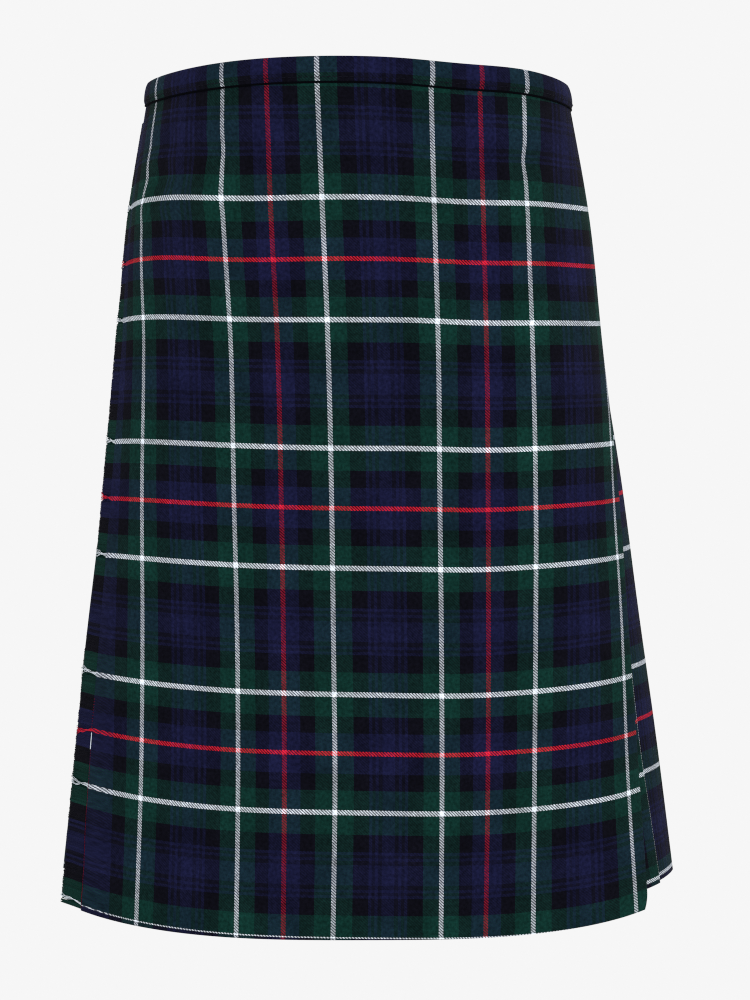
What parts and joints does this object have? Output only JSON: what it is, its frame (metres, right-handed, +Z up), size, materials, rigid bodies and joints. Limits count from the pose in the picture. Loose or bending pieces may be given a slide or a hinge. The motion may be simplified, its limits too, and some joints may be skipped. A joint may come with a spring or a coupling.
{
  "type": "kilt",
  "caption": "Worn tartan kilt with a flat front apron, fringed on one side, knife pleats round the sides and back, a narrow waistband, and leather straps with buckles at the hips.",
  "frame": {"origin": "middle of the waist opening, at the height of the waistband's top edge in front", "axes": "+Z up, +X to the wearer's left, the flat front towards -Y"},
  "size_m": [0.4447, 0.3252, 0.6105],
  "materials": {
    "tartan": "worsted wool twill, navy, dark green and black with white and red lines",
    "fringe": "loose wool warp ends",
    "leather": "black, semi-gloss, stitched edges",
    "metal": "polished"
  },
  "bodies": {
    "root": {"over_apron": "tartan", "under_apron": "tartan", "pleats_left": "tartan", "pleats_right": "tartan", "waistband_over_apron": "tartan", "waistband_under_apron": "tartan", "waistband_back": "tartan", "apron_fringe": "fringe", "strap_right_waist": "leather", "chape_right_waist": "leather", "keeper_right_waist": "leather", "buckle_right_waist": "metal", "prong_right_waist": "metal", "strap_right_hip": "leather", "chape_right_hip": "leather", "keeper_right_hip": "leather", "buckle_right_hip": "metal", "prong_right_hip": "metal", "strap_left_waist": "leather", "chape_left_waist": "leather", "keeper_left_waist": "leather", "buckle_left_waist": "metal", "prong_left_waist": "metal"}
  },
  "joints": []
}
